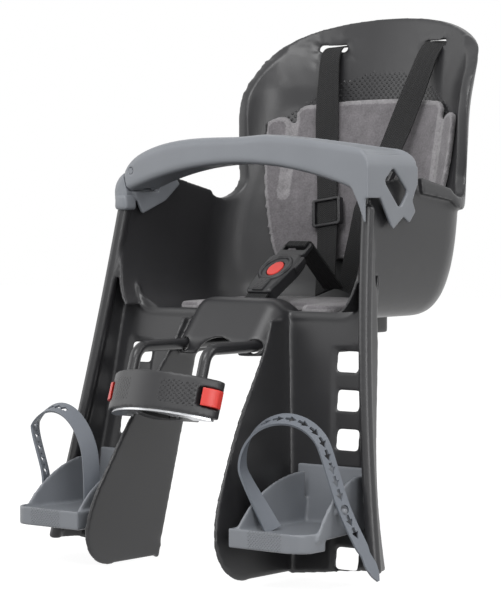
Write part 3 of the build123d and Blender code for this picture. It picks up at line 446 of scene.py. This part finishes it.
# %% Paint the nodes
finish_of = {
    "shell": shell_plastic,
    "pad": pad_velour,
    "black_steel": rod_black,
    "black_plastic": black_plastic,
    "zinc_steel": zinc,
    "liner_rubber": liner_rubber,
    "red_plastic": red_plastic,
    "grey_plastic": grey_plastic,
    "grey_rubber": strap_rubber,
    "webbing": webbing_black,
}
for node, slot in slot_of.items():
    nodes[node].data.materials.clear()
    nodes[node].data.materials.append(finish_of[slot])
nodes["hinge_pin"].data.materials[0] = grey_plastic
print("nodes painted:", len(slot_of))


# %% [markdown]
# Moulded parts have no sharp edges: plastic flows round every corner of the tool. A packed
# node has them, so each moulded piece starts as a copy of its node. A node's triangles are
# loose, so the copy is merged first. The shell is the largest copy.

# %% Merged copies
merge_gap = 0.00002


def select_only(piece):
    """Selects one piece and makes it the active one."""
    deselect_all()
    piece.select_set(True)
    bpy.context.view_layer.objects.active = piece


def edit_whole(piece, operator, **settings):
    """Runs one edit-mode operator on all of a piece."""
    select_only(piece)
    bpy.ops.object.mode_set(mode="EDIT")
    bpy.ops.mesh.select_all(action="SELECT")
    operator(**settings)
    bpy.ops.object.mode_set(mode="OBJECT")


def merged_copy(node, name):
    """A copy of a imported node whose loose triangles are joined."""
    piece = bpy.data.objects.new(name, nodes[node].data.copy())
    bpy.context.scene.collection.objects.link(piece)
    edit_whole(piece, bpy.ops.mesh.remove_doubles, threshold=merge_gap)
    return piece


shell = merged_copy("seat_shell", "seat_shell_moulded")
print("points of the merged shell:", len(shell.data.vertices))


# %% [markdown]
# The shell is one large moulding: a bucket with a rolled rim, two leg guards with a bead
# along the front and a hollow pommel. It is remeshed with small even cells and then
# relaxed, which rounds every edge by about one cell. A bevel would also do it, but it
# breaks on the many short edges where curved walls meet. Cells lose a wall that is thinner
# than they are, so the sloping top of the back is filled out first.

# %% Shell wall
fill_start = 0.285
fill_fade = 0.02
fill_depth = 0.002


def fill_out_back(piece):
    """Moves the front of the upper back out, so that its sloping wall keeps its thickness."""
    for point in piece.data.vertices:
        if point.normal.y < -0.05 and point.co.z > fill_start:
            point.co += point.normal * fill_depth * min(1, (point.co.z - fill_start) / fill_fade)


def apply_all(piece):
    """Applies every modifier of a piece in order."""
    select_only(piece)
    for modifier in list(piece.modifiers):
        bpy.ops.object.modifier_apply(modifier=modifier.name)


def relax(piece, rounds, region=""):
    """Adds a modifier that evens out a piece, or one named region of it."""
    even = piece.modifiers.new("relax", "SMOOTH")
    even.vertex_group = region
    even.factor = 0.5
    even.iterations = rounds


def soften(piece, cell, rounds, keep=1.0):
    """Even cells, relaxed so that edges turn round; keep thins the result."""
    remesh = piece.modifiers.new("cells", "REMESH")
    remesh.mode = "VOXEL"
    remesh.voxel_size = cell
    relax(piece, rounds)
    if keep < 1:
        thin = piece.modifiers.new("thin", "DECIMATE")
        thin.ratio = keep
    apply_all(piece)
    select_only(piece)
    bpy.ops.object.shade_smooth()


fill_out_back(shell)
soften(shell, cell=0.0014, rounds=16, keep=0.25)
print("faces of the softened shell:", len(shell.data.polygons))


# %% [markdown]
# Where the inner wall of a leg guard meets its calf panel, the real shell has a wide round
# corner. Only the points near that corner are relaxed again. The corner leans outwards and
# forwards on its way down, so its place is worked out from the height of each point.

# %% Shell corners
guard_top = 0.02
guard_corner = (0.0625, 0.116)
guard_flare = 0.1264
guard_rake = 0.152
corner_reach = 0.012


def calf_corner(place):
    """Near the corner where the inner wall of a leg guard meets its calf panel."""
    down = guard_top - place.z
    sideways = abs(place.x) - guard_corner[0] - guard_flare * down
    forwards = place.y - guard_corner[1] + guard_rake * down
    return -0.155 < place.z < 0.065 and math.hypot(sideways, forwards) < corner_reach


def round_corner(piece, inside, rounds):
    """Relaxes only the points of one region, which rounds its corners generously."""
    chosen = [point.index for point in piece.data.vertices if inside(point.co)]
    region = piece.vertex_groups.new(name="corner")
    region.add(chosen, 1.0, "REPLACE")
    relax(piece, rounds, "corner")
    apply_all(piece)
    print("points relaxed in the corners:", len(chosen))


round_corner(shell, calf_corner, 30)


# %% [markdown]
# The crescent of raised dots above the back pad is marked on the mesh, where the inner face
# of the back looks forwards. The shell is then done: it takes the place of its node, with
# the node's finish, and rides on the node's body.

# %% Shell dots
crescent_top = 0.319
crescent_drop = 4.15
crescent_foot = 0.27


def mark(piece, name, inside):
    """Stores a one for each point of a mesh that is inside, and a zero for the others."""
    layer = piece.data.attributes.new(name, "FLOAT", "POINT")
    for point in piece.data.vertices:
        layer.data[point.index].value = 1.0 if inside(point.co, point.normal) else 0.0


def in_crescent(place, normal):
    """Inside the crescent of dots on the front of the back."""
    top = crescent_top - crescent_drop * place.x ** 2
    return normal.y < -0.3 and place.y > 0.3 and crescent_foot < place.z < top


def seat_on_frame(piece, node, body):
    """The piece takes a node's place, finish and body."""
    piece.data.materials.clear()
    piece.data.materials.append(finish_of[slot_of[node]])
    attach(piece, body)
    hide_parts(node)
    print(piece.name, "faces", len(piece.data.polygons))


mark(shell, "dots", in_crescent)
seat_on_frame(shell, "seat_shell", "seat")


# %% [markdown]
# The safety bar is made the same way. Its top is then pressed into a shallow dish for the
# child's hand: a point of the top sinks more, the further it lies from the nearest side of
# the bar, so a raised band stays all round.

# %% Safety bar
dish_start = 0.035
dish_fade = 0.03
dish_depth = 0.0022
dish_band = 0.004


def press_dish(piece):
    """Sinks the top of the bar towards its hooked end and leaves a raised band all round."""
    sides = [point.co for point in piece.data.vertices if point.normal.z < 0.45]
    tree = KDTree(len(sides))
    for index, place in enumerate(sides):
        tree.insert(place, index)
    tree.balance()
    for point in piece.data.vertices:
        if point.normal.z > 0.5 and point.co.x > dish_start:
            inner = min(1, max(0, (tree.find(point.co)[2] - dish_band) / dish_band))
            along = min(1, (point.co.x - dish_start) / dish_fade)
            point.co.z -= dish_depth * inner ** 2 * (3 - 2 * inner) * along


bar = merged_copy("safety_bar", "safety_bar_moulded")
soften(bar, cell=0.0014, rounds=4)
press_dish(bar)
seat_on_frame(bar, "safety_bar", "bar")


# %% [markdown]
# The hinge bracket, the clamp block with its jaw and the two red buttons follow, and the
# buttons get the smallest cells, because they are the smallest pieces. The front of the
# block has two patches of grip dots. The buttons slide in the block, so each is drawn in a
# little all round.

# %% Bracket, block and buttons
block_tilt = math.radians(18)
patch_near = 0.018
patch_far = 0.052
patch_half = 0.0105


def on_block_front(place, normal):
    """Inside one of the two grip patches on the front of the block."""
    up = place.y * math.sin(block_tilt) + place.z * math.cos(block_tilt)
    return normal.y < -0.3 and patch_near < abs(place.x) < patch_far and abs(up) < patch_half


def moulded_piece(node, body, cell, rounds, clearance=0.0):
    """A softened copy of a node, in its place, drawn in where it has to slide."""
    piece = merged_copy(node, node + "_moulded")
    soften(piece, cell, rounds)
    drawn_in = [point.co - point.normal * clearance for point in piece.data.vertices]
    for point, place in zip(piece.data.vertices, drawn_in):
        point.co = place
    seat_on_frame(piece, node, body)
    return piece


moulded_piece("bar_bracket", "seat", cell=0.0012, rounds=4)
block = moulded_piece("block_body", "block", cell=0.0013, rounds=5)
mark(block, "dots", on_block_front)
moulded_piece("block_jaw", "block", cell=0.0014, rounds=4)
for hand in ("left", "right"):
    body = "button_" + hand
    moulded_piece("release_button_" + hand, body, cell=0.0008, rounds=5, clearance=0.0005)


# %% [markdown]
# A spring behind each red button pushes it out, and gives way when the button is pressed.
# Each spring is a merged copy of its node, with a mesh of its own, that rides on the block.

# %% Button springs
for hand in ("left", "right"):
    node = "button_spring_" + hand
    spring = merged_copy(node, node + "_coil")
    seat_on_frame(spring, node, "block")
    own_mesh(spring)


# %% [markdown]
# Footrests, buckle and strap slides are smaller mouldings, with walls of only two to four
# millimetres. The buckle and the slides need the finest cells. The front edge of each
# footrest has a patch of grip dots.

# %% Footrests, buckle and slides
toe_near = 0.116
toe_far = 0.154


def on_toe_edge(place, normal):
    """Inside the grip patch on the front edge of a footrest."""
    return normal.y < -0.5 and place.y < 0 and toe_near < abs(place.x) < toe_far


for hand in ("left", "right"):
    rest = moulded_piece("footrest_" + hand, "rest_" + hand, cell=0.0014, rounds=4)
    mark(rest, "dots", on_toe_edge)
moulded_piece("buckle_housing", "seat", cell=0.0008, rounds=5)
moulded_piece("buckle_button", "buckle_press", cell=0.0007, rounds=5, clearance=0.0002)
moulded_piece("buckle_tongue", "seat", cell=0.0008, rounds=4)
for hand in ("left", "right"):
    moulded_piece("strap_adjuster_" + hand, "seat", cell=0.0007, rounds=3)
for hand in ("left", "right"):
    moulded_piece("strap_anchor_" + hand, "seat", cell=0.001, rounds=3)


# %% [markdown]
# The hinge bracket ends in a skirt that hugs the top of the arm, so no gap shows between
# the two mouldings. It is a cube with generous round edges, tapered a little to the top.

# %% Bracket skirt
skirt_size = (0.017, 0.018, 0.016)
skirt_middle = (-0.1495, 0.1185, 0.1825)
skirt_foot = skirt_middle[2] - skirt_size[2] / 2
skirt_taper = 0.12


def bevelled_plate(size, place, width):
    """A cube at its size and place with rounded edges."""
    deselect_all()
    bpy.ops.mesh.primitive_cube_add(size=1, location=place)
    bpy.ops.transform.resize(value=size)
    bpy.ops.object.transform_apply(location=True, rotation=True, scale=True)
    plate = bpy.context.object
    round_edges = plate.modifiers.new("round", "BEVEL")
    round_edges.width = width
    round_edges.segments = 4
    apply_all(plate)
    return plate


def finish_detail(piece, name, finish):
    """A detail without a node of its own: smooth faces, a finish and the seat's body."""
    piece.name = name
    bpy.ops.object.shade_smooth_by_angle(angle=math.radians(40))
    piece.data.materials.append(finish)
    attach(piece, "seat")
    print(name, "faces", len(piece.data.polygons))


skirt = bevelled_plate(skirt_size, skirt_middle, width=0.004)
for point in skirt.data.vertices:
    narrower = 1 - skirt_taper * (point.co.z - skirt_foot) / skirt_size[2]
    point.co.x = skirt_middle[0] + (point.co.x - skirt_middle[0]) * narrower
finish_detail(skirt, "bracket_skirt", grey_plastic)


# %% [markdown]
# The buckle has a raised oval collar round its button, so that a child can't press it by
# chance, a grained thumb rest below it and a tab on each side where the tongue is caught.
# Each is a primitive, bevelled or pressed to shape in the plane of the buckle, and then
# turned into that plane in one step.

# %% Buckle details
buckle_middle = Vector((0, 0.176, 0.112))
buckle_lean = math.radians(35.1)
tab_size = (0.0042, 0.019, 0.0085)


def to_buckle_plane(piece, name):
    """Turns a piece made flat at the origin into the plane of the buckle."""
    select_only(piece)
    piece.rotation_euler = (buckle_lean, 0, 0)
    piece.location = buckle_middle
    bpy.ops.object.transform_apply(location=True, rotation=True, scale=True)
    finish_detail(piece, name, black_plastic)


deselect_all()
bpy.ops.mesh.primitive_torus_add(
    major_radius=0.0158,
    minor_radius=0.0021,
    major_segments=56,
    minor_segments=14,
    location=(0, 0.0015, 0.0046),
)
bpy.ops.transform.resize(value=(1, 1.16, 1.1))
bpy.ops.object.transform_apply(location=True, rotation=True, scale=True)
to_buckle_plane(bpy.context.object, "buckle_collar")
thumb_rest = bevelled_plate((0.0135, 0.018, 0.003), (0, -0.0265, 0.0052), width=0.0013)
edit_whole(thumb_rest, bpy.ops.mesh.subdivide, number_cuts=5)
mark(thumb_rest, "dots", lambda place, normal: normal.z > 0.9)
to_buckle_plane(thumb_rest, "buckle_thumb_rest")
for side, hand in ((-1, "right"), (1, "left")):
    tab = bevelled_plate(tab_size, (side * 0.0196, 0.0145, -0.001), width=0.0016)
    to_buckle_plane(tab, "buckle_tab_" + hand)


# %% [markdown]
# A strap is cut flat and only then laid along its course, which keeps its true length and
# width and lets the weave run along it. A course is a few points with the corners between
# them turned into short curves, cut into rows of even length. The points are read from the
# photograph in millimetres, from a place between the tops of the arms.

# %% Strap courses
arm_place = (126, 182)
corner_steps = 8
row_step = 0.003


def millimetres(points):
    """Points in millimetres from the tops of the arms, as vectors of the frame."""
    back, up = arm_place
    return [Vector((x / 1000, (y + back) / 1000, (z + up) / 1000)) for x, y, z in points]


def rounded_course(points, reach):
    """A course whose corners are turned into short curves."""
    course = [points[0]]
    for before, corner, after in zip(points, points[1:], points[2:]):
        start = corner + (before - corner) * min(reach / (before - corner).length, 0.45)
        end = corner + (after - corner) * min(reach / (after - corner).length, 0.45)
        for step in range(corner_steps + 1):
            share = step / corner_steps
            pull = corner * 2 * share * (1 - share)
            course.append(start * (1 - share) ** 2 + pull + end * share ** 2)
    course.append(points[-1])
    return course


def even_rows(course):
    """Points at even lengths along a course, and its whole length."""
    marks = [0.0]
    for here, there in zip(course, course[1:]):
        marks.append(marks[-1] + (there - here).length)
    count = max(2, round(marks[-1] / row_step))
    rows = []
    index = 0
    for row in range(count + 1):
        goal = marks[-1] * row / count
        while index < len(course) - 2 and marks[index + 1] < goal:
            index += 1
        share = (goal - marks[index]) / (marks[index + 1] - marks[index])
        rows.append(course[index].lerp(course[index + 1], share))
    return rows, marks[-1]


crotch_course = ((0, 25.87, -86.95), (0, -0.31, -105.35))
print("buckle strap is", round(even_rows(millimetres(crotch_course))[1], 4), "long")


# %% [markdown]
# The strip itself starts as a grid at its flat size, with a UV map in metres and its
# thickness. Its points are then carried onto the course: the length follows the curve, and
# the width stays across it.

# %% Flat strips
columns = 8
strap_wide = 0.025
strap_thick = 0.0018


def flat_strip(name, width, length, thick, rows):
    """A flat strip on X and Y with a UV map in metres and its thickness."""
    deselect_all()
    bpy.ops.mesh.primitive_grid_add(x_subdivisions=columns, y_subdivisions=rows, size=1)
    bpy.ops.transform.resize(value=(width, length, 1))
    bpy.ops.transform.translate(value=(0, length / 2, 0))
    bpy.ops.object.transform_apply(location=True, rotation=True, scale=True)
    strip = bpy.context.object
    strip.name = name
    for loop in strip.data.loops:
        place = strip.data.vertices[loop.vertex_index].co
        strip.data.uv_layers[0].data[loop.index].uv = (place.x + width / 2, place.y)
    wall = strip.modifiers.new("wall", "SOLIDIFY")
    wall.thickness = thick
    wall.offset = 0
    apply_all(strip)
    return strip


def lay_along(strip, rows, length, sideways, twist):
    """Carries a flat strip onto its course; sideways gives its width direction, twist turns it."""
    last = len(rows) - 1
    across = []
    for index in range(last + 1):
        along = (rows[min(index + 1, last)] - rows[max(index - 1, 0)]).normalized()
        turn = Quaternion(along, math.radians(twist(index / last)))
        across.append(turn @ sideways(along).normalized())
    for point in strip.data.vertices:
        share = min(max(point.co.y / length, 0), 1) * last
        index = min(int(share), last - 1)
        part = share - index
        side = across[index].lerp(across[index + 1], part).normalized()
        along = (rows[index + 1] - rows[index]).normalized()
        face = side.cross(along).normalized()
        middle = rows[index].lerp(rows[index + 1], part)
        point.co = middle + side * point.co.x + face * point.co.z
    edit_whole(strip, bpy.ops.mesh.normals_make_consistent, inside=False)
    bpy.ops.object.shade_smooth_by_angle(angle=math.radians(50))


print("webbing is", strap_wide, "wide and", strap_thick, "thick")


# %% [markdown]
# The harness: two shoulder straps come through the slots in the back, run through a slide
# each and go down behind the seat pad; a short one holds the tongue, another the buckle.
# The shoulder straps turn their faces a little between slot and slide, as loose webbing
# does.

# %% Harness webbing
def webbing(node, points, reach, front, twist):
    """One length of webbing along its course, in place of its node."""
    rows, length = even_rows(rounded_course(millimetres(points), reach))
    strip = flat_strip(node + "_webbing", strap_wide, length, strap_thick, len(rows) - 1)
    lay_along(strip, rows, length, lambda along: along.cross(Vector(front)), twist)
    seat_on_frame(strip, node, "seat")
    print(node, "flat length", round(length, 4))


def swing(angle, start, end):
    """A twist that grows to its full angle midway between two shares of the length."""
    def at(share):
        if not start < share < end:
            return 0.0
        return angle * math.sin(math.pi * (share - start) / (end - start)) ** 2
    return at


def untwisted(share):
    """No twist anywhere along the strap."""
    return 0.0


webbing(
    "shoulder_strap_right",
    ((-65.2, 256, 168), (-64.8, 228, 165), (-54.3, 208, 95), (-35, 183, -35), (-10.7, 146, -92)),
    reach=0.02,
    front=(0, -1, 0.2),
    twist=swing(-18, 0.12, 0.6),
)
webbing(
    "shoulder_strap_left",
    (
        (66.7, 256, 168), (66.1, 228, 165), (47.6, 191, 70),
        (32.5, 154, -7), (30, 154, -20), (10.2, 154.5, -92),
    ),
    reach=0.02,
    front=(0, -1, 0.2),
    twist=swing(-16, 0.1, 0.6),
)
webbing(
    "tongue_strap",
    ((0, 80.6, -43.8), (0, 89, -38), (0, 146, -88)),
    reach=0.006,
    front=(0, 1, 1),
    twist=untwisted,
)
webbing(
    "crotch_strap",
    crotch_course,
    reach=0.006,
    front=(0, -1, 1),
    twist=untwisted,
)


# %% [markdown]
# The foot straps are soft rubber bands with a row of arrow-shaped holes, so that a peg on
# the footrest can hold them at several lengths. The holes are cut while the band is flat,
# so one cutter is made of a triangle and a stem for each arrow and a cylinder for the peg.

# %% Band outline and holes
band_wide = 0.016
band_thick = 0.0022
hole_pitch = 0.0125
arrow_head = 0.0044
arrow_stem = (0.0032, 0.0065, 0.02)
stem_back = 0.0035
peg_hole = 0.0043
cut_depth = 0.02


def band_share(y, length):
    """Share of the full width along a band: wide at its root, a leaf-shaped tip at its tail."""
    tail = [length - back for back in (0.034, 0.026, 0.016, 0.007, 0)]
    places = [0, 0.4 * length] + tail
    shares = (1.12, 0.95, 0.84, 0.62, 0.8, 0.6, 0.12)
    for index in range(len(places) - 2, -1, -1):
        if y >= places[index]:
            part = (y - places[index]) / (places[index + 1] - places[index])
            return shares[index] + (shares[index + 1] - shares[index]) * min(1, part)
    return shares[0]


def arrow_cutter(centres, peg_at):
    """One cutter for all holes of a band: an arrow each and a round one for the peg."""
    cylinder = bpy.ops.mesh.primitive_cylinder_add
    made = []
    for y in centres:
        deselect_all()
        cylinder(vertices=3, radius=arrow_head, depth=cut_depth, location=(0, y, 0))
        made.append(bpy.context.object)
        deselect_all()
        stem_place = (0, y - stem_back, 0)
        bpy.ops.mesh.primitive_cube_add(size=1, location=stem_place, scale=arrow_stem)
        made.append(bpy.context.object)
    deselect_all()
    cylinder(vertices=20, radius=peg_hole, depth=cut_depth, location=(0, peg_at, 0))
    made.append(bpy.context.object)
    for piece in made:
        piece.select_set(True)
    bpy.ops.object.join()
    return bpy.context.object


print("band is", round(band_wide * band_share(0, 0.2), 4), "wide at its root")


# %% [markdown]
# A band rises from the tray, goes over the foot in a round arc and comes down past its peg
# to a loose tail. Its course is drawn in the plane of the tray's slanting edge, along the
# edge and up, in millimetres. Three points are enough for the arc: it lies on the circle
# through them.

# %% Band courses
tray_root = (100, -112)
edge_run = (0.9578, 0.2873)
foot_peg = (87, -281)
arc_steps = 12


def beside_tray(points, side):
    """Points given along the tray's edge and up, as vectors of the frame."""
    (x, y), (out, back) = tray_root, edge_run
    return millimetres([(side * (x + out * along), y + back * along, up) for along, up in points])


def arc_over(rise, crown, fall):
    """Points on the round arc of the band over the foot."""
    (x1, y1), (x2, y2), (x3, y3) = rise, crown, fall
    twice = 2 * (x1 * (y2 - y3) + x2 * (y3 - y1) + x3 * (y1 - y2))
    one, two, three = x1 ** 2 + y1 ** 2, x2 ** 2 + y2 ** 2, x3 ** 2 + y3 ** 2
    x0 = (one * (y2 - y3) + two * (y3 - y1) + three * (y1 - y2)) / twice
    y0 = (one * (x3 - x2) + two * (x1 - x3) + three * (x2 - x1)) / twice
    start = math.atan2(y1 - y0, x1 - x0)
    end = math.atan2(y3 - y0, x3 - x0)
    if end > start:
        end -= 2 * math.pi
    radius = math.hypot(x1 - x0, y1 - y0)
    angles = [start + (end - start) * step / arc_steps for step in range(arc_steps + 1)]
    return [(x0 + radius * math.cos(angle), y0 + radius * math.sin(angle)) for angle in angles]


left_arc = arc_over((-12, -250), (24, -199), (68, -222))
right_arc = arc_over((6, -246), (72, -204), (116, -226))
left_course = [(18, -301.5)] + left_arc + [foot_peg, (120, -343)]
right_course = [(3, -301.5), (3, -272)] + right_arc + [foot_peg, (104, -312)]
print("points on the courses:", len(left_course), len(right_course))


# %% [markdown]
# A band is cut flat like the webbing, narrowed to its outline and pierced by a boolean.
# Only then is it laid along its course, so that the holes bend with it. It turns on its way
# from the tray to the crown of the arc, as a band does that is pegged at an angle.

# %% Foot straps
plain_tail = 0.03


def cut_holes(band, cutter):
    """Cuts the holes and leaves triangles, which bend without creases."""
    holes = band.modifiers.new("holes", "BOOLEAN")
    holes.operation = "DIFFERENCE"
    holes.solver = "EXACT"
    holes.use_self = True
    holes.object = cutter
    apply_all(band)
    bpy.data.objects.remove(cutter)
    edit_whole(band, bpy.ops.mesh.quads_convert_to_tris)


def foot_band(node, body, points, side, twist):
    """A rubber band with holes from the tray over the foot to the peg and its tail."""
    rows, length = even_rows(rounded_course(beside_tray(points, side), 0.02))
    peg_place = beside_tray([foot_peg], side)[0]
    peg_row = min(range(len(rows)), key=lambda row: (rows[row] - peg_place).length)
    peg_at = length * peg_row / (len(rows) - 1)
    band = flat_strip(node + "_band", band_wide, length, band_thick, len(rows) - 1)
    for point in band.data.vertices:
        point.co.x *= band_share(point.co.y, length)
    centres = [peg_at + hole_pitch * count for count in range(-10, 3) if count]
    cut_holes(band, arrow_cutter([y for y in centres if y < length - plain_tail], peg_at))
    across = Vector((edge_run[1] * side, -edge_run[0], 0))
    lay_along(band, rows, length, lambda along: across, twist)
    seat_on_frame(band, node, body)


def lean_out(first, last):
    """A twist from the tray to the crown of the band, which then stays to its tail."""
    return lambda share: first + (last - first) * min(1.0, share / 0.42)


foot_band("foot_strap_left", "rest_left", left_course, 1, lean_out(-38, 34))
foot_band("foot_strap_right", "rest_right", right_course, -1, lean_out(0, -30))


# %% [markdown]
# The two pads are foam under velour, welded flat all round. The weld runs along the sharp
# outline of a pad's solid, so those edges are collected as a search tree: later it tells
# how far any point lies from the outline. A cloth simulation with a little air pressure
# then lifts the cover between its welds. The movement is capped, so that the pads stay
# inside their places.

# %% Swelling
sharp_edge = math.radians(40)
air_pressure = 4
settle_frames = 20
most_swell = 0.003


def border_tree(piece):
    """A search tree of points along the sharp outline edges of a merged pad."""
    shape = bmesh.new()
    shape.from_mesh(piece.data)
    places = []
    for edge in shape.edges:
        if len(edge.link_faces) == 2 and edge.calc_face_angle() > sharp_edge:
            start, end = edge.verts[0].co, edge.verts[1].co
            count = max(1, round((end - start).length / 0.0015))
            places.extend(start.lerp(end, step / count) for step in range(count + 1))
    shape.free()
    tree = KDTree(len(places))
    for index, place in enumerate(places):
        tree.insert(place, index)
    tree.balance()
    return tree


def swell(pad, held):
    """Air pressure under the cover; held points stay, and no point moves too far."""
    starts = [point.co.copy() for point in pad.data.vertices]
    group = pad.vertex_groups.new(name="held")
    for point in pad.data.vertices:
        group.add([point.index], 1.0 if held(point.co, point.normal) else 0.0, "REPLACE")
    filling = pad.modifiers.new("filling", "CLOTH")
    filling.settings.vertex_group_mass = "held"
    filling.settings.use_pressure = True
    filling.settings.uniform_pressure_force = air_pressure
    filling.settings.effector_weights.gravity = 0
    for frame_number in range(1, settle_frames + 1):
        bpy.context.scene.frame_set(frame_number)
    apply_all(pad)
    bpy.context.scene.frame_set(1)
    for point, start in zip(pad.data.vertices, starts):
        step = point.co - start
        if step.length > most_swell:
            point.co = start + step * (most_swell / step.length)


print("pads swell by", most_swell, "at most")


# %% [markdown]
# Each pad starts as a merged copy of its solid in even cells. The side that lies on the
# shell and the border stay held while the rest swells, one subdivision smooths the result,
# and the border is marked for the velour's lighter weld.

# %% Pads
back_axis = 0.17


def padded_piece(node, cell, resting, border):
    """A swollen pad with a flat welded border, in place of its solid."""
    pad = merged_copy(node, node + "_padded")
    rim = border_tree(pad)
    soften(pad, cell, 4)
    swell(pad, lambda place, normal: resting(place, normal) or rim.find(place)[2] < border)
    smooth = pad.modifiers.new("smooth", "SUBSURF")
    smooth.levels = 1
    smooth.render_levels = 1
    apply_all(pad)
    mark(pad, "border", lambda place, normal: rim.find(place)[2] < 0.8 * border)
    select_only(pad)
    bpy.ops.object.shade_smooth()
    seat_on_frame(pad, node, "seat")


def against_back(place, normal):
    """On the side of the back pad that lies against the shell."""
    return normal.x * place.x + normal.y * (place.y - back_axis) > 0


def on_pan(place, normal):
    """On the underside of the seat pad."""
    return normal.z < 0.2


padded_piece("back_pad", cell=0.0023, resting=against_back, border=0.006)
padded_piece("seat_pad", cell=0.0025, resting=on_pan, border=0.0065)
